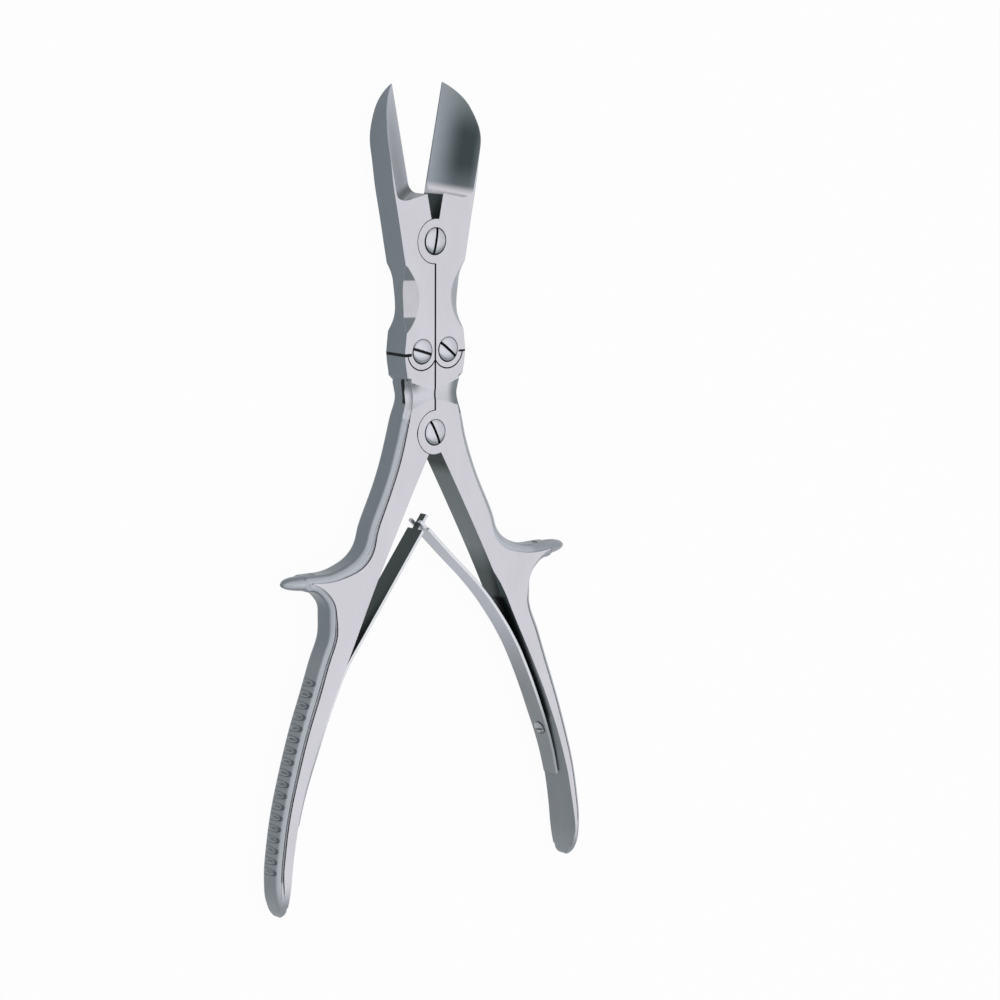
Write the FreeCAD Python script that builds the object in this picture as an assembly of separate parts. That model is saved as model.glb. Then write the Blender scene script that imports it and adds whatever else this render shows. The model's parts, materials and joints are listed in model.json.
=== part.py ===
import FreeCAD, Part
import math
import os

os.makedirs("parts", exist_ok=True)
V = FreeCAD.Vector
Z_UP = V(0, 0, 1)

# Row frame: X across the instrument, Y toward the blade tips, Z up out of the front face.
# The origin is on the handle pivot's axis in the plane of the back face.
# Lengths in mm, angles in degrees. The right half is drawn and the left half is its mirror.

# Whole instrument, as it rests with the handles open
thickness = 9.7
jaw_pivot_y = 61.58
link_x = 5.3
link_y = 26.5
blade_angle = 11.75
tip_y = 111.4

# Clearances
parting_gap = 0.15
blade_gap = 0.06
lamina_gap = 0.03
disc_gap = 0.25
shoulder_gap = 0.06
turning_fit = 0.05
jaw_pivot_fit = 0.18
seat_gap = 0.02

# Half-lap joints and their screws
jaw_disc_r = 7.1
handle_disc_r = 7.1
link_disc_r = 5.8
shoulder_y = 25.7
shank_r = 2.4
head_depth = 1.9
dome_rise = 0.45
slot_width = 0.9
slot_depth = 0.95
jaw_head_r = 4.25
handle_head_r = 4.2
link_head_r = 4.0
tail_recess = 0.1

# Blade
bevel_slope = 36.6
bevel_end_y = 76.8
bevel_wall_lean = 16.0
bevel_wall_skew = 8.0
bevel_fillet = 3.0
hollow_r = 95.0
edge_land = 0.2

# Neck hollows and waist scoop
neck_x = 20.4
neck_y = 43.6
neck_r = 13.9
neck_depth = 3.2
waist_y = 12.45
waist_floor = 0.24
waist_bow_r = 36.0
waist_tool_r = 8.0
waist_ledge = 0.9
link_flat_y = 29.5
link_flat_r = 15.6

# Handle section and finger horn
horn_y = -44.2
horn_r = 2.6
bead_step = 0.5
bead_round = 2.2

# Bevel along the right grip's inner front edge, a cone seen from inside
grip_bevel_x = -134.3
grip_bevel_y = -166.3
grip_bevel_r = 198.15
grip_bevel_slope = 0.95
grip_bevel_low = 5.0

# Grip grooves
groove_count = 18
groove_pitch = 3.48
groove_first_y = -76.5
groove_wheel_r = 7.5
groove_half = 0.95
groove_depth = 0.5

# Springs
leaf = 1.0
leaf_low_z = 1.1
leaf_high_z = 8.6
fork_gap = 3.4
fork_prong = 1.3
fork_length = 4.6
tongue_width = 2.9
tongue_length = 7.2
leaf_seat = 0.1
spring_flex = 5.9
spring_screw_y = -105.0
spring_seat_ys = [-121.5, -113.0, -105.0, -98.0, -90.0, -81.0, -71.0, -60.0]
spring_free = [(13.4, -46.4), (1.2, -33.1)]
spring_shank_r = 1.1
spring_head_r = 2.3
spring_head_h = 1.3


def tangent_arc(start, direction, end):
    # Arc that leaves the start in the given direction and passes the end
    chord = end - start
    half = chord.Length / 2.0
    c = V(chord.x, chord.y, 0).normalize()
    side = V(-c.y, c.x, 0)
    across = direction.dot(side)
    if abs(across) < 1e-4:
        return Part.makeLine(start, end)
    turn = math.atan2(across, direction.dot(c))
    middle = start + chord * 0.5 + side * (half * math.tan(turn / 2.0))
    return Part.Arc(start, middle, end).toShape()


def through(points):
    # Direction of the circle through three points, at the middle one
    a, b, c = points
    u = (b - a).normalize()
    w = (c - b).normalize()
    first = (b - a).Length
    second = (c - b).Length
    return (u * second + w * first).normalize()


def flow(points, first=None, last=None):
    # Smooth chain of arcs, two between each pair of points, with end directions if given
    p = [V(x, y, 0) for x, y in points]
    inner = [through(p[i - 1 : i + 2]) for i in range(1, len(p) - 1)]
    c0 = (p[1] - p[0]).normalize()
    c1 = (p[-1] - p[-2]).normalize()
    first = first or c0 * (2.0 * c0.dot(inner[0])) - inner[0]
    last = last or c1 * (2.0 * c1.dot(inner[-1])) - inner[-1]
    heading = [first] + inner + [last]
    edges = []
    for i in range(len(p) - 1):
        v = p[i + 1] - p[i]
        t = heading[i] + heading[i + 1]
        k = 2.0 * (1.0 - heading[i].dot(heading[i + 1]))
        if k < 1e-6:
            d = v.dot(v) / (2.0 * v.dot(t))
        else:
            d = (math.sqrt(v.dot(t) ** 2 + k * v.dot(v)) - v.dot(t)) / k
        joint = (p[i] + heading[i] * d + p[i + 1] - heading[i + 1] * d) * 0.5
        edges.append(tangent_arc(p[i], heading[i], joint))
        back = tangent_arc(p[i + 1], heading[i + 1] * -1.0, joint)
        edges.append(back)
    return edges


def line(a, b):
    return Part.makeLine(V(a[0], a[1], 0), V(b[0], b[1], 0))


def plate(edges, low, high):
    face = Part.Face(Part.Wire(Part.__sortEdges__(edges)))
    solid = face.extrude(V(0, 0, high - low))
    solid.translate(V(0, 0, low))
    return solid


def disc(x, y, r, low, high):
    return Part.makeCylinder(r, high - low, V(x, y, low))


def block(x0, y0, z0, x1, y1, z1):
    return Part.makeBox(x1 - x0, y1 - y0, z1 - z0, V(x0, y0, z0))


def lamina(front):
    # Z range of one lamina of a half-lap joint
    middle = thickness / 2.0
    if front:
        return middle + lamina_gap, thickness
    return 0.0, middle - lamina_gap


def other_side(front):
    # Z range cleared for the facing lamina
    middle = thickness / 2.0
    if front:
        return -1.0, middle + lamina_gap
    return middle - lamina_gap, thickness + 1.0


jaw_pivot = V(0, jaw_pivot_y, 0)
edge_dir = V(math.sin(math.radians(blade_angle)), math.cos(math.radians(blade_angle)), 0)
edge_out = V(edge_dir.y, -edge_dir.x, 0)
edge_reach = (tip_y - jaw_pivot_y) / edge_dir.y

# Outer side of the jaw from the tip to the link joint's shoulder
jaw_outer = [
    (edge_dir.x * edge_reach + blade_gap, tip_y),
    (14.6, 107.7),
    (18.6, 98.2),
    (17.6, 84.0),
    (14.6, 67.5),
    (12.4, 56.2),
    (9.2, 44.4),
    (11.6, 33.0),
    (12.45, shoulder_y + shoulder_gap),
]

# Outer side of the handle: waist, shank and the top of the finger horn
shank_side = [
    (12.4, shoulder_y),
    (11.3, 18.8),
    (9.1, 12.6),
    (11.4, 3.5),
    (16.7, -13.0),
    (22.4, -25.0),
    (28.6, -36.6),
    (38.0, -41.0),
    (50.0, horn_y + horn_r),
]

# Underside of the horn, grip and end
grip_side = [
    (50.0, horn_y - horn_r),
    (44.6, -50.6),
    (44.1, -58.5),
    (48.9, -72.6),
    (57.2, -96.3),
    (64.3, -126.4),
    (65.4, -138.5),
    (64.9, -147.3),
    (63.9, -150.0),
    (61.9, -150.95),
    (59.9, -150.0),
    (59.2, -147.7),
]
handle_inner = [
    (parting_gap, -2.6),
    (12.7, -25.2),
    (25.2, -49.0),
    (33.2, -65.6),
    (45.0, -90.0),
    (55.5, -119.5),
    (59.2, -147.7),
]


def jaw_plan():
    tip = jaw_pivot + edge_dir * edge_reach + edge_out * blade_gap
    heel = V(parting_gap, jaw_pivot_y, 0)
    foot = (parting_gap, shoulder_y + shoulder_gap)
    outer = flow([(tip.x, tip.y)] + jaw_outer[1:])
    return outer + [
        line((tip.x, tip.y), (heel.x, heel.y)),
        line((heel.x, heel.y), foot),
        line(foot, jaw_outer[-1]),
    ]


def bevel_tool():
    # Everything in front of the ground bevel, in a frame along the cutting edge
    start = jaw_pivot + edge_dir * ((bevel_end_y - jaw_pivot_y) / edge_dir.y)
    length = edge_reach
    a = V(0, 0, edge_land)
    slope = math.radians(bevel_slope)
    along = V(math.cos(slope), 0, math.sin(slope))
    normal = V(-math.sin(slope), 0, math.cos(slope))
    reach = 27.0
    centre = a + along * 7.5 + normal * hollow_r
    angle = math.degrees(math.asin((reach - 7.5) / hollow_r))
    start_angle = math.degrees(math.asin(13.5 / hollow_r))

    def on_arc(t):
        c = math.cos(math.radians(t))
        s = math.sin(math.radians(t))
        return centre - normal * (hollow_r * c) + along * (hollow_r * s)

    low = on_arc(-start_angle)
    high = on_arc(angle)
    mid = on_arc((angle - start_angle) / 2.0)
    top = V(high.x, 0, 40.0)
    top_back = V(low.x, 0, 40.0)
    edges = [
        Part.Arc(low, mid, high).toShape(),
        Part.makeLine(high, top),
        Part.makeLine(top, top_back),
        Part.makeLine(top_back, low),
    ]
    profile = Part.Face(Part.Wire(edges))
    tool = profile.extrude(V(0, length, 0))
    lean = Part.makeBox(80, 40, 80, V(-30, -40, -20))
    lean.rotate(V(0, 0, 0), V(1, 0, 0), bevel_wall_lean)
    lean.rotate(V(0, 0, 0), Z_UP, bevel_wall_skew)
    tool = tool.cut(lean)
    wall = [
        e
        for e in tool.Edges
        if abs(e.CenterOfMass.y) < 8.0 and e.BoundBox.XLength > 12 and e.CenterOfMass.z < 25
    ]
    tool = tool.makeFillet(bevel_fillet, wall)
    tool.rotate(V(0, 0, 0), Z_UP, -blade_angle)
    tool.translate(start + edge_out * blade_gap)
    return tool


def neck_tool():
    # A cone that hollows the outer front edge of the neck
    cone = Part.makeCone(neck_r - neck_depth, neck_r + 1.0, neck_depth + 1.0)
    cone.translate(V(neck_x, neck_y, thickness - neck_depth))
    return cone


def in_depth(tool):
    # The same tool working from the back face
    return tool.mirror(V(0, 0, thickness / 2.0), Z_UP)


def screw_hole(x, y, head_r, fit, thread_front):
    # Through hole, and the counterbore where this lamina carries the head
    hole = disc(x, y, shank_r + fit, -1.0, thickness + 1.0)
    if thread_front:
        return hole
    seat = disc(x, y, head_r + fit + 0.06, thickness - head_depth, thickness + 1.0)
    return hole.fuse(seat)


def make_jaw(a_front):
    body = plate(jaw_plan(), 0, thickness)
    body = body.cut(bevel_tool())
    neck = neck_tool()
    body = body.cut(neck).cut(in_depth(neck))
    low, high = lamina(a_front)
    body = body.cut(disc(0, jaw_pivot_y, jaw_disc_r + disc_gap, *other_side(a_front)))
    body = body.fuse(disc(0, jaw_pivot_y, jaw_disc_r, low, high))
    wall = block(-1, 0, -1, parting_gap, 45, thickness + 1)
    link = disc(link_x, link_y, link_disc_r, *lamina(True)).cut(wall)
    body = body.cut(disc(link_x, link_y, link_disc_r + disc_gap, *other_side(True)))
    body = body.fuse(link)
    body = body.cut(screw_hole(link_x, link_y, link_head_r, turning_fit, False))
    if a_front:
        body = body.cut(screw_hole(0, jaw_pivot_y, jaw_head_r, jaw_pivot_fit, False))
    else:
        body = body.cut(screw_hole(0, jaw_pivot_y, jaw_head_r, seat_gap, True))
    return body.removeSplitter()


def outer_chain(start):
    # Outer side of the handle from one of the shank's points, round the horn and down to the end
    outward = V(1, 0, 0)
    inward_up = V(-0.25, 1, 0).normalize()
    top = flow(shank_side[start:], None, outward)
    x = shank_side[-1][0]
    nose = Part.Arc(
        V(x, horn_y + horn_r, 0),
        V(x + horn_r, horn_y, 0),
        V(x, horn_y - horn_r, 0),
    ).toShape()
    return top + [nose] + flow(grip_side, outward * -1.0, inward_up)


def handle_plan(start):
    # Closed outline of the handle from one of the shank's points down
    first = shank_side[start]
    corner = (parting_gap, first[1])
    return outer_chain(start) + flow(handle_inner) + [
        line(handle_inner[0], corner),
        line(corner, first),
    ]


# Outer boundary of the ground flat, inside the rounded bead
flat_outer = [
    (9.6, 18.6),
    (7.6, 12.4),
    (8.6, 6.5),
    (10.3, -1.5),
    (19.8, -25.4),
    (28.0, -40.2),
    (38.0, -43.6),
    (49.8, -43.6),
]
flat_under = [
    (49.8, -43.9),
    (43.4, -48.8),
    (41.8, -58.5),
    (46.5, -73.3),
    (54.9, -97.0),
    (62.0, -127.0),
    (62.9, -140.0),
    (61.4, -147.4),
]


def flat_plan():
    start = (parting_gap, shoulder_y)
    return flow(handle_inner) + flow(flat_under) + flow(flat_outer) + [
        line(start, (parting_gap, handle_inner[0][1])),
        line(handle_inner[-1], flat_under[-1]),
        line(flat_under[0], flat_outer[-1]),
        line(flat_outer[0], start),
    ]


def horn_tip():
    # Tapering end of the finger horn, lofted through upright ellipses
    sections = [
        (46.5, -44.6, 3.4, 4.25),
        (52.5, -43.95, 2.35, 3.7),
        (57.2, -43.8, 1.5, 2.3),
        (58.6, -43.85, 0.7, 1.0),
    ]
    wires = []
    for x, y, half_y, half_z in sections:
        major = max(half_y, half_z)
        minor = min(half_y, half_z)
        curve = Part.Ellipse(
            V(x, y, thickness / 2.0 + major),
            V(x, y + minor, thickness / 2.0),
            V(x, y, thickness / 2.0),
        )
        wires.append(Part.Wire(curve.toShape()))
    return Part.makeLoft(wires, True, False)


def groove(at, tangent, out):
    # A wheel with a sharp rim, run across the grip: a shallow groove that fades at both ends
    centre = at + out * (groove_wheel_r - groove_depth)
    centre = V(centre.x, centre.y, thickness / 2.0)
    rim = groove_wheel_r - groove_half
    front = Part.makeCone(groove_wheel_r, rim, groove_half)
    behind = Part.makeCone(rim, groove_wheel_r, groove_half, V(0, 0, -groove_half))
    wheel = front.fuse(behind)
    wheel.Placement = FreeCAD.Placement(centre, FreeCAD.Rotation(Z_UP, tangent))
    return wheel


def groove_tools():
    # Evenly spaced along the grip's outer side
    wire = Part.Wire(Part.__sortEdges__(outer_chain(0)))
    wanted = [groove_first_y - groove_pitch * i for i in range(groove_count)]
    tools = []
    for y in wanted:
        across = Part.makeLine(V(40, y, 0), V(80, y, 0))
        gap, pairs, info = wire.distToShape(across)
        at = pairs[0][0]
        beside = Part.makeLine(V(40, y - 0.4, 0), V(80, y - 0.4, 0))
        below = wire.distToShape(beside)[1][0][0]
        tangent = (at - below).normalize()
        out = V(tangent.y, -tangent.x, 0)
        if out.x < 0:
            out = out * -1.0
        tools.append(groove(at, tangent, out))
    return tools


def waist_tool():
    # Saddle-shaped scoop across the front of the waist, deeper toward the flank and on the bead
    centre = V(0, waist_y, thickness - waist_floor - waist_bow_r)
    ring = Part.makeTorus(waist_bow_r + waist_tool_r, waist_tool_r, centre, V(0, 1, 0))
    reach = block(0, waist_y - 9, thickness - 4, 14, waist_y + 9, thickness + 3)
    ring = ring.common(reach)
    low = V(0, 0, -waist_ledge)
    ledge = ring.translated(low).cut(plate(flat_plan(), thickness - 9, thickness + 9))
    return ring.fuse(ledge)


def grip_bevel():
    # Cone whose rim is the flat's inner edge, steep toward the grip's inner side
    drop = thickness - grip_bevel_low
    low_r = grip_bevel_r - drop * grip_bevel_slope
    high_r = grip_bevel_r + grip_bevel_slope
    centre = V(grip_bevel_x, grip_bevel_y, grip_bevel_low)
    return Part.makeCone(low_r, high_r, drop + 1.0, centre)


def bead_body():
    # The handle below the link joint, its outer side rounded front and back
    body = plate(handle_plan(1), bead_step, thickness - bead_step)
    guide = Part.Wire(Part.__sortEdges__(outer_chain(1)))
    rounded = []
    for e in body.Edges:
        middle = e.valueAt((e.FirstParameter + e.LastParameter) / 2.0)
        spot = Part.Vertex(V(middle.x, middle.y, 0))
        if e.BoundBox.ZLength < 0.01 and spot.distToShape(guide)[0] < 0.01:
            rounded.append(e)
    return body.makeFillet(bead_round, rounded)


def make_handle(b_front):
    body = bead_body()
    top = plate(handle_plan(0), 0, thickness)
    top = top.common(disc(0, link_flat_y, link_flat_r, -1, thickness + 1))
    flat = plate(flat_plan(), 0, thickness)
    body = body.fuse(horn_tip())
    body = body.fuse(flat)
    body = body.fuse(top)
    scoop = waist_tool()
    body = body.cut(scoop).cut(in_depth(scoop))
    for tool in groove_tools():
        body = body.cut(tool)
    if b_front:
        body = body.cut(grip_bevel())
    low, high = lamina(b_front)
    body = body.cut(disc(0, 0, handle_disc_r + disc_gap, *other_side(b_front)))
    body = body.fuse(disc(0, 0, handle_disc_r, low, high))
    wall = block(-1, 0, -1, parting_gap, 45, thickness + 1)
    body = body.cut(disc(link_x, link_y, link_disc_r + disc_gap, *other_side(False)))
    body = body.fuse(disc(link_x, link_y, link_disc_r, *lamina(False)).cut(wall))
    body = body.cut(screw_hole(link_x, link_y, link_head_r, seat_gap, True))
    if b_front:
        body = body.cut(screw_hole(0, 0, handle_head_r, turning_fit, False))
    else:
        body = body.cut(screw_hole(0, 0, handle_head_r, seat_gap, True))
    body = body.cut(spring_hole())
    return body.removeSplitter()


def inner_face(y):
    # Point of the handle's inner face at this height, and the way out of that face
    wire = Part.Wire(Part.__sortEdges__(flow(handle_inner)))
    at = wire.distToShape(Part.makeLine(V(0, y, 0), V(80, y, 0)))[1][0][0]
    above = wire.distToShape(Part.makeLine(V(0, y + 0.5, 0), V(80, y + 0.5, 0)))[1][0][0]
    along = (above - at).normalize()
    return at, V(-along.y, along.x, 0)


def seat():
    at, inward = inner_face(spring_screw_y)
    return V(at.x, at.y, (leaf_low_z + leaf_high_z) / 2.0), inward


def spring_hole():
    at, inward = seat()
    return Part.makeCylinder(spring_shank_r + seat_gap, 5.2, at - inward * 5.0, inward)


def spring_line():
    # Middle line of the leaf: seated at its screw, off the face by the room its bending needs,
    # then free to the crossing of the tips
    screw, inward = inner_face(spring_screw_y)
    points = []
    for y in spring_seat_ys:
        at, inward = inner_face(y)
        room = 0.0
        if y > spring_screw_y:
            room = (at - screw).Length * math.tan(math.radians(spring_flex))
        off = at + inward * (leaf / 2.0 + leaf_seat + room)
        points.append((off.x, off.y))
    return points + spring_free


def leaf_band():
    middle = Part.Wire(Part.__sortEdges__(flow(spring_line())))
    band = middle.makeOffset2D(leaf / 2.0, 2, True, True)
    face = band if band.ShapeType == "Face" else Part.Face(band)
    solid = face.extrude(V(0, 0, leaf_high_z - leaf_low_z))
    solid.translate(V(0, 0, leaf_low_z))
    return solid


def spring_tip():
    # End of the middle line and its direction
    a = V(spring_free[-2][0], spring_free[-2][1], 0)
    b = V(spring_free[-1][0], spring_free[-1][1], 0)
    return b, (b - a).normalize()


def strip(width, length, centre_z):
    # A narrow strip that carries the leaf on beyond its end
    at, along = spring_tip()
    side = V(-along.y, along.x, 0) * (leaf / 2.0)
    start = at - along * 0.6
    end = at + along * length
    corners = [start + side, end + side, end - side, start - side]
    wire = Part.makePolygon(corners + [corners[0]])
    solid = Part.Face(wire).extrude(V(0, 0, width))
    solid.translate(V(0, 0, centre_z - width / 2.0))
    return solid


def end_taper():
    # Wedges that narrow the seated end of the leaf
    wedge = Part.makeBox(40, 60, 6, V(35, -160, leaf_high_z))
    wedge.rotate(V(50, -100, leaf_high_z), V(1, 0, 0), 1.6)
    lower = wedge.mirror(V(0, 0, (leaf_low_z + leaf_high_z) / 2.0), Z_UP)
    return wedge, lower


def make_spring(fork):
    middle_z = (leaf_low_z + leaf_high_z) / 2.0
    body = leaf_band()
    if fork:
        rise = (fork_gap + fork_prong) / 2.0
        body = body.fuse(strip(fork_prong, fork_length, middle_z + rise))
        body = body.fuse(strip(fork_prong, fork_length, middle_z - rise))
    else:
        body = body.fuse(strip(tongue_width, tongue_length, middle_z))
    for wedge in end_taper():
        body = body.cut(wedge)
    at, inward = seat()
    hole = Part.makeCylinder(spring_shank_r + 0.05, 8.0, at - inward * 4.0, inward)
    return body.cut(hole).removeSplitter()


def make_spring_screw(angle):
    # Small slotted screw through the leaf into the handle
    at, inward = seat()
    shank = Part.makeCylinder(spring_shank_r, 4.6 + leaf + 0.1)
    shank.translate(V(0, 0, -4.6))
    head = Part.makeCylinder(spring_head_r, spring_head_h * 0.6, V(0, 0, leaf + 0.1))
    crown = Part.makeCone(spring_head_r, spring_head_r * 0.6, spring_head_h * 0.4)
    crown.translate(V(0, 0, leaf + 0.1 + spring_head_h * 0.6))
    head = head.fuse(crown)
    slot = Part.makeBox(6, 0.7, 1.0, V(-3, -0.35, leaf + 0.1 + spring_head_h - 0.6))
    slot.rotate(V(0, 0, 0), Z_UP, angle)
    body = shank.fuse(head).cut(slot)
    turn = FreeCAD.Rotation(Z_UP, inward)
    body.Placement = FreeCAD.Placement(at, turn)
    return body


def make_screw(x, y, head_r, slot_angle):
    # Shank up from the back, head in the counterbore, shallow dome, slot across it
    seat_z = thickness - head_depth + 0.03
    top_z = thickness + dome_rise
    tail = Part.makeCone(shank_r - 0.3, shank_r, 0.3, V(0, 0, tail_recess))
    shank = disc(0, 0, shank_r, tail_recess + 0.3, seat_z + 0.5).fuse(tail)
    rim = thickness - 0.1
    rise = top_z - rim
    head = disc(0, 0, head_r, seat_z, rim)
    head = head.fuse(Part.makeCone(head_r, head_r * 0.78, rise * 0.64, V(0, 0, rim)))
    crown = Part.makeCone(head_r * 0.78, head_r * 0.4, rise * 0.36, V(0, 0, rim + rise * 0.64))
    head = head.fuse(crown)
    slot = Part.makeBox(3 * head_r, slot_width, 4.0)
    slot.translate(V(-1.5 * head_r, -slot_width / 2.0, top_z - slot_depth))
    slot.rotate(V(0, 0, 0), Z_UP, slot_angle)
    body = shank.fuse(head).cut(slot).removeSplitter()
    body.translate(V(x, y, 0))
    return body


def to_left(shape):
    return shape.mirror(V(0, 0, 0), V(1, 0, 0))


def save(shape, node):
    solids = shape.Solids
    print(node, len(solids), shape.isValid(), round(shape.Volume, 2))
    if len(solids) == 1:
        shape = solids[0]
    shape.exportStep("parts/" + node + ".step")


save(make_jaw(True), "right_jaw")
save(to_left(make_jaw(False)), "left_jaw")
save(make_handle(True), "right_handle")
save(to_left(make_handle(False)), "left_handle")
save(make_screw(0, jaw_pivot_y, jaw_head_r, 79.0), "jaw_pivot_screw")
save(make_screw(0, 0, handle_head_r, -63.5), "handle_pivot_screw")
save(make_screw(-link_x, link_y, link_head_r, -17.5), "left_link_screw")
save(make_screw(link_x, link_y, link_head_r, -38.5), "right_link_screw")
save(make_spring(True), "right_spring")
save(to_left(make_spring(False)), "left_spring")
save(make_spring_screw(30.0), "right_spring_screw")
save(to_left(make_spring_screw(65.0)), "left_spring_screw")
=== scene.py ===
import json
import math
import bmesh
import bpy
from mathutils import Matrix, Vector


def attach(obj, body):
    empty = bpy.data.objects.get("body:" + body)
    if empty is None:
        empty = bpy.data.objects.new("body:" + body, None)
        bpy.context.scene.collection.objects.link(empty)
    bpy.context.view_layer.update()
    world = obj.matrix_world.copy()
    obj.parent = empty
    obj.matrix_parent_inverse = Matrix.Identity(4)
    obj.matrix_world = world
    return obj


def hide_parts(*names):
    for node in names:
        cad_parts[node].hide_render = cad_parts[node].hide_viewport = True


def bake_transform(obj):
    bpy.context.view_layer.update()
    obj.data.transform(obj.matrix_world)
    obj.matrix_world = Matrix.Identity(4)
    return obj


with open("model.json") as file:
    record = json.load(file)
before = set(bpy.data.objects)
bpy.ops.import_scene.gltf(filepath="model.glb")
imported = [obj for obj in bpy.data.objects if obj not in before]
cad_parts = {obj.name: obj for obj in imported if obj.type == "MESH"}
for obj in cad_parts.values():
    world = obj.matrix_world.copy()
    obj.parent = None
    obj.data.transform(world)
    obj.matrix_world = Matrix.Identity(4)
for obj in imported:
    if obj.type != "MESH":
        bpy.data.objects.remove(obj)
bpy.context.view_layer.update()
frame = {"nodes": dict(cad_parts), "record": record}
nodes = frame["nodes"]
mm = 0.001
midHeight = 4.85  # half of the thickness, in mm
sharpTurn = math.radians(28)  # edges that turn more stay sharp


# the photograph's place of view
view = {
    "target": (0.031645, -0.026, 0.00485),
    "back": (-0.6403, 0.1646, 0.7503),
    "distance": 1.16445,
    "lens": 127.19,
    "roll": 0.255,
}


def makeCamera():
    back = Vector(view["back"]).normalized()
    side = Vector((0, 1, 0)).cross(back).normalized()
    up = back.cross(side)
    roll = math.radians(view["roll"])
    right = side * math.cos(roll) + up * math.sin(roll)
    top = up * math.cos(roll) - side * math.sin(roll)
    lens = bpy.data.cameras.new("photoCamera")
    lens.lens = view["lens"]
    lens.sensor_width = 36
    lens.clip_end = 20
    camera = bpy.data.objects.new("photoCamera", lens)
    place = Vector(view["target"]) + back * view["distance"]
    camera.matrix_world = Matrix((right, top, back)).transposed().to_4x4()
    camera.location = place
    bpy.context.scene.collection.objects.link(camera)
    bpy.context.scene.camera = camera


lamps = {
    "overheadBox": {"at": (0.35, -0.05, 1.1), "size": (1.1, 1.1), "power": 1.5},
    "leftBox": {"at": (-1.2, 0.5, 0.8), "size": (0.7, 0.9), "power": 0.7},
    "rightBox": {"at": (1.1, -0.6, 0.6), "size": (0.4, 1.0), "power": 0.45},
}


def makeLamps():
    for name, lamp in lamps.items():
        light = bpy.data.lights.new(name, "AREA")
        light.shape = "RECTANGLE"
        light.size, light.size_y = lamp["size"]
        light.energy = lamp["power"]
        box = bpy.data.objects.new(name, light)
        box.location = lamp["at"]
        aim = Vector((0, -0.03, 0)) - box.location
        box.rotation_euler = aim.to_track_quat("-Z", "Y").to_euler()
        bpy.context.scene.collection.objects.link(box)


class Socket:  # one output of a node, used in sums
    def __init__(self, finish, output):
        self.finish = finish
        self.output = output

    def maths(self, operation, first, second=0.0, clamp=False):
        settings = {"operation": operation, "use_clamp": clamp}
        return self.finish.node("ShaderNodeMath", settings, {0: first, 1: second})

    def __add__(self, other):
        return self.maths("ADD", self, other)

    def __radd__(self, other):
        return self.maths("ADD", other, self)

    def __sub__(self, other):
        return self.maths("SUBTRACT", self, other)

    def __rsub__(self, other):
        return self.maths("SUBTRACT", other, self)

    def __mul__(self, other):
        return self.maths("MULTIPLY", self, other)

    def __rmul__(self, other):
        return self.maths("MULTIPLY", other, self)

    def __abs__(self):
        return self.maths("ABSOLUTE", self)

    def clamped(self):
        return self.maths("ADD", self, 0.0, True)


class Finish:  # one material and the calls that add its nodes
    def __init__(self, name, world=None):
        if world is None:
            self.material = bpy.data.materials.new(name)
            self.material.use_nodes = True
            self.tree = self.material.node_tree
            self.shader = self.tree.nodes["Principled BSDF"]
            self.output = self.tree.nodes["Material Output"]
        else:
            world.use_nodes = True
            self.tree = world.node_tree
            self.shader = self.tree.nodes["Background"]
            self.output = self.tree.nodes["World Output"]

    def plug(self, target, value):
        if isinstance(value, Socket):
            self.tree.links.new(value.output, target)
        else:
            target.default_value = value

    def node(self, kind, settings=None, sockets=None, out=0):
        made = self.tree.nodes.new(kind)
        for name, value in (settings or {}).items():
            if name == "stops":
                ramp = made.color_ramp
                while len(ramp.elements) < len(value):
                    ramp.elements.new(0.5)
                for element, (place, shade) in zip(ramp.elements, value):
                    element.position = place
                    element.color = (*shade, 1)
            else:
                setattr(made, name, value)
        for name, value in (sockets or {}).items():
            self.plug(made.inputs[name], value)
        return Socket(self, made.outputs[out])

    def set(self, sockets):
        for name, value in sockets.items():
            self.plug(self.shader.inputs[name], value)

    def coordinates(self, out="Object"):
        return self.node("ShaderNodeTexCoord", out=out)

    def split(self, vector):
        first = self.node("ShaderNodeSeparateXYZ", sockets={0: vector})
        outputs = first.output.node.outputs
        return [Socket(self, outputs[i]) for i in range(3)]

    def step(self, value, low, high):  # 0 below low, 1 above high, smooth between
        settings = {"interpolation_type": "SMOOTHSTEP"}
        sockets = {0: value, 1: low, 2: high, 3: 0.0, 4: 1.0}
        return self.node("ShaderNodeMapRange", settings, sockets)

    def blend(self, mask, first, second):  # colours
        return self.node(
            "ShaderNodeMix",
            {"data_type": "RGBA", "clamp_factor": True},
            {0: mask, 6: colour(first), 7: colour(second)},
            out=2,
        )

    def tint(self, base, amount):  # multiplies a colour by a number
        grey = self.node("ShaderNodeCombineColor", sockets={0: amount, 1: amount, 2: amount})
        return self.node(
            "ShaderNodeMix",
            {"data_type": "RGBA", "blend_type": "MULTIPLY"},
            {0: 1.0, 6: colour(base), 7: grey},
            out=2,
        )

    def noise(self, vector, stretch, scale=1.0, detail=2.0):
        placed = self.node("ShaderNodeMapping", sockets={"Vector": vector, "Scale": stretch})
        return self.node(
            "ShaderNodeTexNoise",
            sockets={"Vector": placed, "Scale": scale, "Detail": detail},
        )


def colour(value):  # sRGB 0-255 triples are turned to linear colours
    if isinstance(value, Socket) or len(value) == 4:
        return value
    linear = [((c / 255 + 0.055) / 1.055) ** 2.4 if c > 10 else c / 255 / 12.92 for c in value]
    return (*linear, 1.0)


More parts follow.
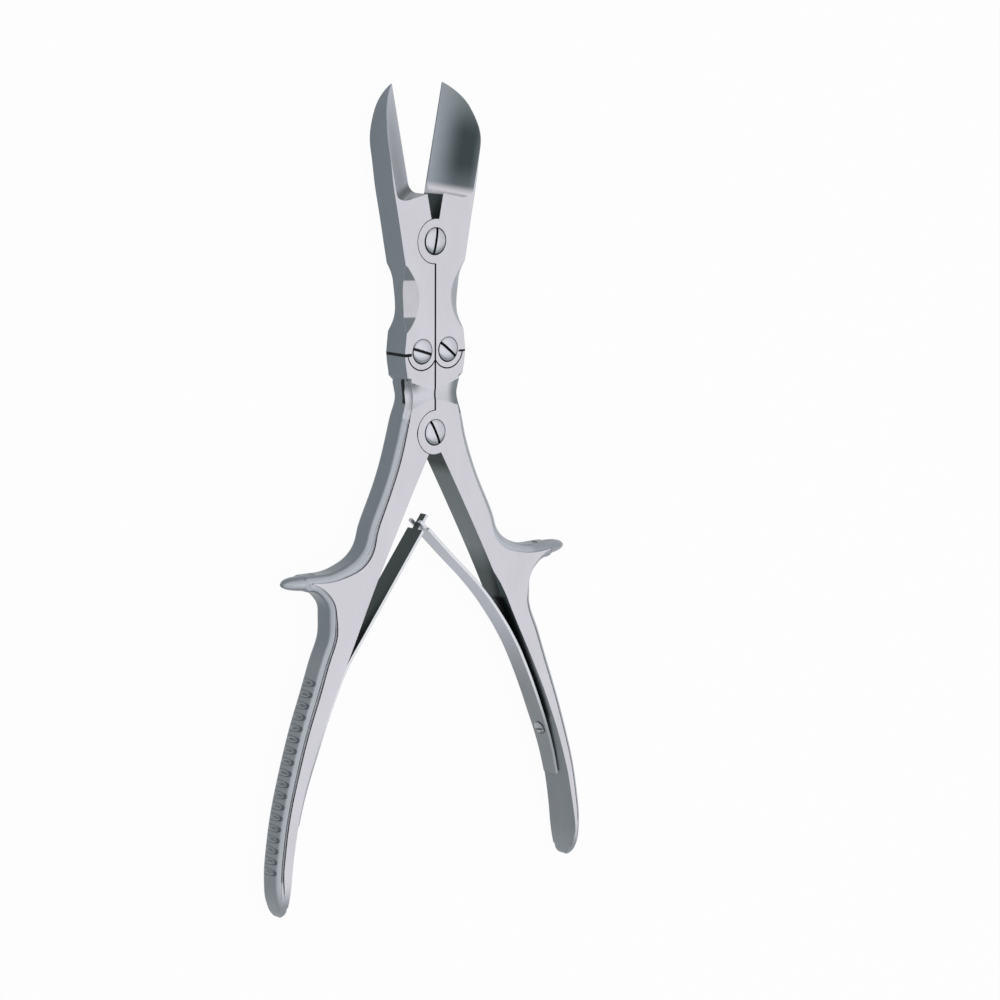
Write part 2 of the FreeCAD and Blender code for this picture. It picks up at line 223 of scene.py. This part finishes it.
def makeFloor():
    bm = bmesh.new()
    bmesh.ops.create_grid(bm, x_segments=8, y_segments=8, size=3.0)
    bmesh.ops.translate(bm, verts=bm.verts, vec=(0, 0, -0.0003))
    mesh = bpy.data.meshes.new("floor")
    bm.to_mesh(mesh)
    bm.free()
    floor = bpy.data.objects.new("floor", mesh)
    bpy.context.scene.collection.objects.link(floor)
    paper = Finish("whitePaper")
    paper.set({"Base Color": colour((246, 246, 246)), "Roughness": 0.9, "Specular IOR Level": 0.0})
    path = paper.node("ShaderNodeLightPath", out="Is Camera Ray")
    outputs = path.output.node.outputs
    seen = path + Socket(paper, outputs["Is Glossy Ray"]) + Socket(paper, outputs["Is Transmission Ray"])
    glow = paper.node("ShaderNodeEmission", sockets={"Color": (1, 1, 1, 1), "Strength": 1.0})
    diffuse = Socket(paper, paper.shader.outputs[0])
    mixed = paper.node("ShaderNodeMixShader", sockets={0: seen.clamped() * 0.95, 1: diffuse, 2: glow})
    paper.plug(paper.output.inputs["Surface"], mixed)
    mesh.materials.append(paper.material)


def makeWorld():
    world = bpy.data.worlds.new("studio")
    bpy.context.scene.world = world
    sky = Finish("studio", world)
    path = sky.node("ShaderNodeLightPath", out="Is Camera Ray")
    outputs = path.output.node.outputs
    seen = path + Socket(sky, outputs["Is Glossy Ray"]) + Socket(sky, outputs["Is Transmission Ray"])
    sky.plug(sky.shader.inputs["Color"], (1, 1, 1, 1))
    sky.plug(sky.shader.inputs["Strength"], seen.clamped() * 0.35 + 0.65)


makeCamera()
makeLamps()
makeWorld()
makeFloor()
print("stage: camera, lamps, floor")


# tones for the steel: flat, slope and flank differ as painted shade by face direction, dark is painted
# shade, the gap colour serves both dark joint lines and painted shade, and edge is lightened for wear
# and painted highlight
satinAndShade = {
    "flat": (193, 192, 199),
    "slope": (158, 162, 168),
    "flank": (112, 120, 126),
    "dark": (52, 60, 62),
    "gap": (16, 20, 21),
    "edge": (224, 224, 229),
    "flatRough": 0.42,
    "flankRough": 0.34,
    "edgeRadius": 0.3,
}


class Steel(Finish):  # ground steel: a tone from masks that holds painted shade and highlights, then grinding lines, edge wear with painted highlight, and bump
    def __init__(self, name):
        super().__init__(name)
        inMm = {"Vector": self.coordinates(), "Scale": (1000, 1000, 1000)}
        self.place = self.node("ShaderNodeMapping", sockets=inMm)
        self.x, self.y, self.z = self.split(self.place)
        self.nx, self.ny, self.nz = self.split(self.coordinates("Normal"))
        self.up = abs(self.nz)
        self.height = abs(self.z - midHeight)  # from the middle of the thickness
        self.grain = self.noise(self.place, (3.2, 0.12, 3.2), 1.0, 3.0)
        self.cross = self.noise(self.place, (0.5, 5.0, 5.0), 1.0, 3.0)
        self.blotch = self.noise(self.place, (0.09, 0.05, 0.09), 1.0, 3.0)
        self.speck = self.noise(self.place, (1.4, 1.4, 1.4), 1.0, 3.0)
        self.bevel = self.node("ShaderNodeBevel", {"samples": 4}, {"Radius": satinAndShade["edgeRadius"] * mm})
        plain = self.node("ShaderNodeNewGeometry", out="Normal")
        facing = self.node(
            "ShaderNodeVectorMath",
            {"operation": "DOT_PRODUCT"},
            {0: self.bevel, 1: plain},
            out="Value",
        )
        self.edgeWearAndHighlight = self.step(1 - facing, 0.03, 0.2)
        self.tone = None
        self.dent = 0.0  # 1 in the bottom of a filed groove
        self.clearOfDirtAndShade = 1.0  # 0 on dark joint lines and painted shade, where no edge is rubbed bright or given a painted highlight

    def paint(self, mask, tone):
        self.tone = self.blend(mask, self.tone, tone)
        if tone == satinAndShade["gap"]:
            self.clearOfDirtAndShade = self.clearOfDirtAndShade * (1 - mask)

    def band(self, value, low, high, soft=0.1):  # 1 between low and high
        return self.step(value, low - soft, low) * (1 - self.step(value, high, high + soft))

    def ring(self, x, y, radius, half):  # round a joint's axis
        dx, dy = self.x - x, self.y - y
        away = self.root(dx * dx + dy * dy)
        return self.band(away, radius - half, radius + half, 0.06)

    def root(self, value):
        return self.node("ShaderNodeMath", {"operation": "SQRT"}, {0: value})

    def shoulderLine(self, side):  # where the jaws' shoulders meet the handles'
        half = joints["lineHalf"][side]
        low, high = joints["shoulder"] - half, joints["shoulder"] + half
        return self.band(self.y, low, high, 0.08) * self.step(abs(self.x), 9.4, 9.9)

    def seam(self, low, high):  # between the left and the right forging
        return self.band(abs(self.x), -1, 0.3, 0.08) * self.band(self.y, low, high, 0.2)

    def close(self, roughFlat, roughSide, wearAndHighlight=0.7, metallic=0.85):
        flat = self.step(self.up, 0.85, 0.97)
        varied = self.tint(self.tone, 0.86 + self.blotch * 0.15 + self.grain * 0.13)
        # wear and painted highlight: convex edges are made lighter in patches
        bright = self.edgeWearAndHighlight * self.clearOfDirtAndShade * wearAndHighlight * self.step(self.speck, 0.2, 0.55)
        rubbedAndHighlit = self.blend(bright, varied, satinAndShade["edge"])
        rough = flat * (roughFlat - roughSide) + roughSide
        rough = rough + self.grain * 0.1 + self.speck * 0.06 - 0.08
        scratches = flat * self.grain + (1 - flat) * self.cross * 0.6
        scratches = scratches + self.speck * 0.3 - self.dent * 4
        bump = self.node(
            "ShaderNodeBump",
            sockets={"Strength": 0.5, "Distance": 0.006 * mm, "Height": scratches, "Normal": self.bevel},
        )
        self.set({"Base Color": rubbedAndHighlit, "Metallic": metallic, "Roughness": rough, "Normal": bump})
        return self.material


joints = {
    "jawPivot": (0.0, 61.58),
    "links": (5.3, 26.5),
    "linkDisc": 5.92,
    "shoulder": 25.73,
    "lineHalf": {"left": 0.47, "right": 0.3},
}
blade = {
    "angle": 11.75,
    "start": 15.0,
    "band": 3.6,
    "edgeTone": {"left": (172, 176, 184), "right": (156, 162, 171)},
    "backTone": {"left": (150, 154, 162), "right": (56, 66, 68)},
    "tipTone": {"left": (176, 180, 188), "right": (140, 147, 152)},
    "bandTone": {"left": (88, 94, 97), "right": (216, 213, 221)},
    "glint": (255, 253, 255),
}
neck = {
    "y": 43.6,
    "reach": 14,
    "middle": 5.9,
    "patch": (112, 119, 123),
    "crescent": (154, 159, 166),
}


def jawSteel(side):
    sign = 1 if side == "right" else -1
    steel = Steel("jawSteel" + side.capitalize())
    turn = math.radians(blade["angle"])
    y = steel.y - joints["jawPivot"][1]
    across = steel.x * (sign * math.cos(turn)) - y * math.sin(turn)  # from the cutting edge outward
    along = steel.x * (sign * math.sin(turn)) + y * math.cos(turn)
    # painted shade by face direction: flats lightest, slopes mid-grey, sides darkest
    steel.tone = steel.blend(steel.step(steel.up, 0.35, 0.8), satinAndShade["flank"], satinAndShade["slope"])
    flat = steel.step(steel.up, 0.96, 0.99) * steel.step(steel.height, 4.7, 4.8)
    # hollows at the neck, with painted shade: the left one lighter in the middle and darker at both
    # ends, the right one mid-grey all over
    hollow = steel.band(steel.y, neck["y"] - neck["reach"], neck["y"] + neck["reach"])
    hollow = hollow * steel.step(steel.up, 0.2, 0.35) * (1 - flat)
    ends = steel.step(abs(steel.y - neck["y"]), neck["middle"] - 0.3, neck["middle"] + 0.3)
    if side == "left":
        steel.paint(hollow, steel.blend(ends, satinAndShade["flat"], neck["patch"]))
    else:
        steel.paint(hollow, neck["crescent"])
    steel.paint(flat, satinAndShade["flat"])
    # hollow-ground bevel with painted shade and highlight: lighter along the cutting edge, darker toward
    # its back, much darker on the right blade, lighter toward the tip
    ground = steel.step(along, blade["start"] + 0.4, blade["start"] + 0.9)
    ground = ground * steel.step(steel.nz, 0.3, 0.5) * (1 - flat)
    back = steel.step(across, -1.5, 8.2) * (0.74 + steel.step(along, 17, 27) * 0.26)
    back = back * (1 - steel.step(across, 10.4, 12.6) * 0.25)
    bladeTone = steel.blend(back, blade["edgeTone"][side], blade["backTone"][side])
    bladeTone = steel.blend(steel.step(along, 35, 50) * 0.7, bladeTone, blade["tipTone"][side])
    steel.paint(ground, bladeTone)
    # the rounded end that the bevel runs into: a painted highlight band on the right blade, painted
    # shade on the left one
    low = blade["start"] + blade["band"]
    band = 1 - steel.step(along, low - 2.2, low + 1.0)
    band = band * steel.step(along, blade["start"] - 2.0, blade["start"] - 1.6)
    if side == "right":
        band = band * steel.step(across, 0.0, 0.4) * (1 - steel.step(steel.nx, 0.75, 0.9))
    else:
        band = band * ground
    steel.paint(band * (1 - flat), blade["bandTone"][side])
    # painted glint on the steep part of the right blade's band
    if side == "right":
        glint = band * (1 - flat) * (1 - steel.step(steel.up, 0.45, 0.65))
        steel.paint(glint, blade["glint"])
    # painted shade on the walls of the gap under the blades, and the dirt along the joints
    gap = steel.band(abs(steel.x), -1, 4.6, 0.2) * steel.band(steel.y, 66.0, 76.2, 0.3)
    steel.paint(gap * (1 - steel.step(steel.up, 0.5, 0.9)), satinAndShade["dark"])
    steel.paint(steel.seam(20.5, 54.3), satinAndShade["gap"])
    steel.paint(steel.shoulderLine(side), satinAndShade["gap"])
    return steel.close(satinAndShade["flatRough"], satinAndShade["flankRough"])


handle = {
    "wallStops": (
        (0.0, (24, 34, 35)),
        (0.055, (30, 40, 41)),
        (0.08, (92, 100, 102)),
        (0.25, (106, 113, 116)),
        (0.31, (62, 70, 72)),
        (0.42, (46, 54, 56)),
        (0.62, (58, 66, 68)),
        (0.71, (114, 119, 123)),
        (1.0, (126, 131, 135)),
    ),
    "wallTop": -3.0,
    "wallLength": 148.0,
    "bevelTone": (118, 124, 128),
    "bead": (172, 176, 183),
    "grip": (122, 128, 133),
    "scoopTone": (190, 190, 197),
    "scoopCorner": (116, 123, 127),
    "horn": (146, 151, 158),
    "end": (132, 137, 142),
}
grooves = {
    "first": -76.5,
    "pitch": 3.48,
    "count": 18,
    "half": 1.1,
    "low": 3.4,
    "reach": 4.5,
    "line": (76, 84, 88),
}
waist = {"from": 5.5, "to": 19.5, "scoopOut": 11.9, "riserOut": 9.9, "edge": (10.3, 17.6)}


def handleSteel(side):
    sign = 1 if side == "right" else -1
    steel = Steel("handleSteel" + side.capitalize())
    # painted shade and highlight by face direction: sides darker than the flats, a little lighter on the
    # grips, and a painted highlight along the bead's crown
    flank = steel.blend(steel.step(steel.y, -72, -60), handle["grip"], satinAndShade["flank"])
    steel.tone = steel.blend(steel.step(steel.up, 0.3, 0.8), flank, handle["bead"])
    outer = steel.step(steel.nx * sign, 0.05, 0.2)
    # hairpin outline of each groove, round its own middle, painted darker as shade in the groove
    count = (grooves["first"] - steel.y) * (1 / grooves["pitch"])
    nearest = steel.node("ShaderNodeMath", {"operation": "ROUND"}, {0: count})
    aside = (count - nearest) * (grooves["pitch"] / grooves["half"])
    upward = (steel.z - grooves["low"]) * (1 / grooves["reach"])
    upward = steel.node("ShaderNodeMath", {"operation": "MAXIMUM"}, {0: upward, 1: 0.0})
    square = aside * aside
    hairpin = steel.root(square * square + upward * upward)
    filed = steel.band(count, -0.5, grooves["count"] - 0.5, 0.02)
    filed = filed * outer * steel.step(steel.z, 0.8, 2.2)
    steel.paint(steel.band(hairpin, 0.84, 1.0, 0.14) * filed, grooves["line"])
    steel.dent = filed * (1 - steel.step(hairpin, 0.5, 1.0))
    lowered = 1 - steel.step(steel.y, -139.5, -138)
    level = (steel.step(steel.height, 4.7, 4.8) + lowered).clamped()
    flat = steel.step(steel.up, 0.95, 0.99) * level
    # painted shade on the wall between the grips: near black at its top, darker where the springs shade
    # it, with a mid-grey bevel along its front edge
    inner = steel.step(steel.nx * -sign, 0.35, 0.6) * steel.step(0 - steel.y, 1.5, 3.5)
    fall = [(at, colour(tone)[:3]) for at, tone in handle["wallStops"]]
    down = (steel.y - handle["wallTop"]) * (-1 / handle["wallLength"])
    wall = steel.node("ShaderNodeValToRGB", {"stops": fall}, {"Fac": down})
    lip = steel.step(steel.up, 0.15, 0.3) * steel.step(steel.z, 7.4, 9.1)
    lip = lip * (1 - steel.step(steel.y, -84, -68))
    steel.paint(inner, steel.blend(lip, wall, handle["bevelTone"]))
    # scoop at the waist, light with painted shade in its outer corners, and a painted black shadow line
    # beside it
    near = steel.band(steel.y, waist["from"], waist["to"], 0.5)
    scoop = near * (1 - flat) * steel.step(steel.up, 0.3, 0.5)
    scoop = scoop * (1 - steel.step(abs(steel.x), waist["scoopOut"], waist["scoopOut"] + 0.5))
    corner = steel.step(abs(steel.x), 5.0, 8.6)
    if side == "left":
        corner = corner * steel.step(steel.y, 12.0, 16.5)
    steel.paint(scoop, steel.blend(corner, handle["scoopTone"], handle["scoopCorner"]))
    if side == "right":
        # painted shade: the right horn darker
        horn = steel.step(steel.x, 40.0, 45.0) * steel.band(steel.y, -52.0, -36.0, 1.5)
        steel.paint(horn * steel.step(steel.up, 0.15, 0.4), handle["horn"])
    steel.paint(flat, satinAndShade["flat"])
    # painted shade: black on the step wall between the bead and the flat
    drop = steel.step(steel.height, 4.3, 4.4) * (1 - steel.step(steel.up, 0.3, 0.6)) * outer
    steel.paint(drop * (1 - steel.step(steel.y, 4.6, 5.6)), satinAndShade["gap"])
    # painted shade: a dark line in the crease between the bead and the flat, stronger on the grips
    creviced = steel.band(steel.height, 4.27, 4.36, 0.03) * (1 - flat) * outer
    onGrip = steel.band(steel.y, -146, -60, 3.0)
    creviced = creviced * (onGrip * 0.5 + 0.35)
    steel.paint(creviced * (1 - steel.step(steel.y, 3.0, 5.0)), satinAndShade["gap"])
    # painted light: the riser wall at the waist as light as the scoop
    upright = outer * (1 - steel.step(steel.up, 0.3, 0.5))
    riser = near * upright * steel.step(steel.z, 7.5, 7.9)
    riser = riser * (1 - steel.step(abs(steel.x), waist["riserOut"], waist["riserOut"] + 0.2))
    steel.paint(riser, handle["scoopTone"])
    # painted black shadow line beside the scoop
    edge = steel.band(steel.y, *waist["edge"], 0.6) * upright
    edge = edge * steel.step(steel.z, 6.0, 6.6) * steel.band(abs(steel.x), 10.2, 12.0, 0.2)
    steel.paint(edge, satinAndShade["gap"])
    # painted shade: the grip's rounded end darker
    steel.paint((1 - steel.step(steel.y, -148.5, -139.5)) * 0.85, handle["end"])
    # dirt along the joints
    steel.paint(steel.seam(7.2, 27.0), satinAndShade["gap"])
    x, y = joints["links"]
    arc = steel.ring(x * sign, y, joints["linkDisc"], 0.28) * (1 - steel.step(steel.y, y - 1.0, y))
    steel.paint(arc, satinAndShade["gap"])
    steel.paint(steel.shoulderLine(side), satinAndShade["gap"])
    return steel.close(satinAndShade["flatRough"], satinAndShade["flankRough"])


spring = {
    "outer": (56, 64, 64),
    "innerTop": (166, 170, 178),
    "innerLow": (124, 129, 133),
    "rim": (204, 206, 211),
    "rimLow": (142, 147, 152),
    "seat": (  # middle line of the right leaf where it lies on its handle
        (55.37, -121.6), (53.19, -113.2), (50.49, -105.2), (47.74, -98.2),
        (44.45, -90.2), (40.36, -81.3), (35.9, -72.9),
    ),
    "half": 3.75,
    "thick": 1.0,
    "tongue": {
        "free": ((28.1, -62.5), (20.2, -52.2), (12.3, -41.9), (4.4, -31.6)),
        "reach": 5.7, "from": 0.0, "to": 1.45,
    },
    "fork": {
        "free": ((28.3, -61.8), (20.9, -53.0), (6.8, -39.3), (-1.4, -31.2)),
        "reach": 3.8, "from": 1.7, "to": 3.0,
    },
    "bendFrom": (35.3, -72.0),
    "bendTo": (7.0, -39.3),
}


def springSteel(side):
    sign = 1 if side == "right" else -1
    steel = Steel("springSteel" + side.capitalize())
    # painted shade and highlight: the side away from the middle dark, the inner side lighter at the top
    # than lower down, painted highlights on the edges that fade lower down
    inner = steel.blend(steel.step(steel.y, -95, -60), spring["innerLow"], spring["innerTop"])
    steel.tone = steel.blend(steel.step(steel.nx * sign, -0.2, 0.2), inner, spring["outer"])
    rim = steel.blend(steel.step(steel.y, -108, -84), spring["rimLow"], spring["rim"])
    steel.paint(steel.step(steel.up, 0.4, 0.75), rim)
    return steel.close(0.34, 0.3, wearAndHighlight=0.3)


def shadeSmooth(bm):
    for face in bm.faces:
        face.smooth = True
    for edge in bm.edges:
        if len(edge.link_faces) == 2 and edge.calc_face_angle(0) > sharpTurn:
            edge.smooth = False


def makeSpring(side):
    # the leaf lies on its handle up to the bend, and then runs straight to the crossing
    sign = 1 if side == "right" else -1
    tip = spring["fork" if side == "right" else "tongue"]
    run = [Vector((x * sign, y, 0)) * mm for x, y in spring["seat"] + tip["free"]]
    ahead = (run[-1] - run[-2]).normalized()
    route = bpy.data.curves.new(side + "LeafLine", "CURVE")
    route.dimensions = "3D"
    line = route.splines.new("BEZIER")
    line.bezier_points.add(len(run))
    for point, place in zip(line.bezier_points, run + [run[-1] + ahead * tip["reach"] * mm]):
        point.co = place
        point.handle_left_type = point.handle_right_type = "AUTO"
    line.resolution_u = 8
    route.extrude = spring["half"] * mm
    carrier = bpy.data.objects.new(side + "LeafLine", route)
    mesh = bpy.data.meshes.new_from_object(carrier)
    bpy.data.objects.remove(carrier)
    bm = bmesh.new()
    bm.from_mesh(mesh)
    bmesh.ops.remove_doubles(bm, verts=bm.verts, dist=0.001 * mm)
    bmesh.ops.translate(bm, verts=bm.verts, vec=(0, 0, midHeight * mm))
    heights = {midHeight + way * tip[end] for way in (-1, 1) for end in ("from", "to")}
    cuts = [((0, 0, z * mm), (0, 0, 1)) for z in heights] + [(run[-1], ahead)]
    for place, direction in cuts:
        parts = bm.verts[:] + bm.edges[:] + bm.faces[:]
        bmesh.ops.bisect_plane(bm, geom=parts, plane_co=place, plane_no=direction)
    spare = []
    for face in bm.faces:
        middle = face.calc_center_median()
        rise = abs(middle.z / mm - midHeight)
        if (middle - run[-1]).dot(ahead) > 0 and not tip["from"] < rise < tip["to"]:
            spare.append(face)
    bmesh.ops.delete(bm, geom=spare, context="FACES")
    for vert in bm.verts:  # the seated end narrows a little
        below = max(0.0, -100 - vert.co.y / mm)
        vert.co.z = midHeight * mm + (vert.co.z - midHeight * mm) * (1 - below * 0.0075)
    bmesh.ops.recalc_face_normals(bm, faces=bm.faces)
    bmesh.ops.solidify(bm, geom=bm.faces[:], thickness=spring["thick"] * mm)
    bmesh.ops.recalc_face_normals(bm, faces=bm.faces)
    shadeSmooth(bm)
    bm.to_mesh(mesh)
    bm.free()
    leaf = bpy.data.objects.new(side + "Leaf", mesh)
    bpy.context.scene.collection.objects.link(leaf)
    mesh.materials.append(springSteel(side))
    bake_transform(leaf)
    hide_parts(side + "_spring")
    print("stage: leaf spring", side)


screws = {
    "jaw_pivot_screw": {"at": (0.0, 61.58), "head": 4.25},
    "handle_pivot_screw": {"at": (0.0, 0.0), "head": 4.2},
    "left_link_screw": {"at": (-5.3, 26.5), "head": 4.0},
    "right_link_screw": {"at": (5.3, 26.5), "head": 4.0},
}
screw = {
    "dome": (190, 191, 198),
    "shade": (128, 134, 139),
    "slotFrom": 9.34,
}


def screwSteel(name):
    own = screws[name]
    steel = Steel("screwSteel_" + name)
    x, y = own["at"]
    # painted shade: the dome darker on its lower side and dark on the head's sides
    steel.tone = steel.blend(steel.step(0 - steel.ny, 0.03, 0.22), screw["dome"], screw["shade"])
    steel.paint(1 - steel.step(steel.up, 0.3, 0.6), satinAndShade["dark"])
    # dark joint ring round the head, with painted shade making it darker on the lower left
    lowLeft = steel.step((steel.x - x) * -0.7 - (steel.y - y) * 0.7, -1.5, 2.0)
    steel.paint(steel.ring(x, y, own["head"], 0.3) * (lowLeft * 0.75 + 0.25), satinAndShade["gap"])
    # painted shade: the slot black
    steel.paint(1 - steel.step(steel.z, screw["slotFrom"], screw["slotFrom"] + 0.2), satinAndShade["gap"])
    return steel.close(0.3, 0.3, wearAndHighlight=0.1)


springScrew = {"rim": (52, 58, 60), "face": (158, 162, 168)}


def springScrewSteel(side):
    sign = 1 if side == "right" else -1
    steel = Steel("springScrewSteel" + side.capitalize())
    # painted shade: the head dark except where it faces the middle
    facing = steel.step(steel.nx * -sign, 0.6, 0.85)
    steel.tone = steel.blend(facing, springScrew["rim"], springScrew["face"])
    return steel.close(0.3, 0.3, wearAndHighlight=0.2)


nose = {
    "from": -138.0,
    "length": 13.4,
    "low": 0.06,
    "pinch": 0.36,
    "inner": 59.2,
    "cuts": 17,
    "step": 0.75,
}


def roundNose(bm):
    # the grip's end is turned down toward the middle of its thickness
    for i in range(nose["cuts"]):
        parts = bm.verts[:] + bm.edges[:] + bm.faces[:]
        place = (0, (nose["from"] - i * nose["step"]) * mm, 0)
        bmesh.ops.bisect_plane(bm, geom=parts, plane_co=place, plane_no=(0, 1, 0))
    for vert in bm.verts:
        reach = (nose["from"] - vert.co.y / mm) / nose["length"]
        if reach > 0:
            curve = math.sqrt(1 - min(reach, 0.995) ** 2)
            half = midHeight * mm * (nose["low"] + (1 - nose["low"]) * curve)
            rise = vert.co.z - midHeight * mm
            vert.co.z = midHeight * mm + max(-half, min(half, rise))
            out = abs(vert.co.x) / mm - nose["inner"]
            if out > 0:
                narrow = out * (1 - nose["pinch"] * min(reach, 1.0) ** 2)
                vert.co.x = math.copysign((nose["inner"] + narrow) * mm, vert.co.x)


trim = {  # how far the outer sides are drawn in or out, by height along the instrument
    "neck": {"y": 44.8, "spread": 6.1, "by": 2.3, "from": 6.5, "over": 3.5},
    "wall": (
        (-150.0, 60.0), (-121.0, 56.0), (-105.0, 51.0), (-90.0, 45.0), (-73.0, 36.5),
        (-50.0, 25.5), (-30.0, 15.0), (-14.0, 6.5), (10.0, 5.0),
    ),
    "over": 3.5,
    "left": (
        (-133.0, -1.4), (-100.0, -1.8), (-80.0, -2.2), (-62.0, -2.4), (-52.0, -1.5),
        (-42.0, 0.0), (-30.0, 1.6), (14.0, 1.8), (16.5, 1.4), (17.8, 0.6), (19.2, 0.0),
    ),
    "right": (
        (-139.0, -0.3), (-118.0, -1.0), (-103.0, -1.6), (-90.0, -2.1), (-60.0, -2.3),
        (-50.0, -1.2),
        (-42.0, 0.3), (-31.0, 1.6), (-10.0, 1.3), (-2.0, 1.1), (9.0, 1.7), (14.0, 1.8),
        (16.5, 1.4), (17.8, 0.6), (19.2, 0.0),
    ),
}


def between(table, at):  # a table's value at a place, straight between its rows
    if at <= table[0][0]:
        return table[0][1]
    for (low, first), (high, second) in zip(table, table[1:]):
        if at <= high:
            return first + (second - first) * (at - low) / (high - low)
    return table[-1][1]


def trimSides(bm, name):
    sign = 1 if name.startswith("right") else -1
    for vert in bm.verts:
        out, y = vert.co.x * sign / mm, vert.co.y / mm
        if name.endswith("jaw"):
            neck = trim["neck"]
            by = neck["by"] * math.exp(-(((y - neck["y"]) / neck["spread"]) ** 2))
            share = (out - neck["from"]) / neck["over"]
        else:
            by = between(trim[name.split("_")[0]], y)
            share = (out - between(trim["wall"], y) - 1) / trim["over"]
        share = max(0.0, min(1.0, share))
        vert.co.x += by * share * (3 - 2 * share) * share * sign * mm


def smoothCopy(name, material, body):
    # the node's own solid, its loose triangles joined so that the curved faces shade smoothly
    bm = bmesh.new()
    bm.from_mesh(nodes[name].data)
    bmesh.ops.remove_doubles(bm, verts=bm.verts, dist=0.002 * mm)
    if name.endswith(("jaw", "handle")):
        trimSides(bm, name)
    if name.endswith("handle"):
        roundNose(bm)
    mesh = bpy.data.meshes.new(name + "_dressed")
    shadeSmooth(bm)
    bm.to_mesh(mesh)
    bm.free()
    piece = bpy.data.objects.new(name + "_dressed", mesh)
    bpy.context.scene.collection.objects.link(piece)
    mesh.materials.append(material)
    weighted = piece.modifiers.new("faces", "WEIGHTED_NORMAL")
    weighted.keep_sharp = True
    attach(piece, body)
    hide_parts(name)
    return piece


bodyOf = {n: b for b, members in frame["record"]["behaviour"]["bodies"].items() for n in members}
slots = {"jaw": "satin_steel", "handle": "satin_steel", "screw": "screw_steel"}
finishes = {name: screwSteel(name) for name in screws}
for side in ("left", "right"):
    finishes[side + "_jaw"] = jawSteel(side)
    finishes[side + "_handle"] = handleSteel(side)
    finishes[side + "_spring_screw"] = springScrewSteel(side)
print("stage: finishes", len(finishes))
for name, finish in finishes.items():
    smoothCopy(name, finish, bodyOf[name])
    slots[name.split("_")[-1]]
for side in ("left", "right"):
    makeSpring(side)
print("stage: pieces", len(nodes))

bpy.context.scene.view_settings.view_transform = "Standard"
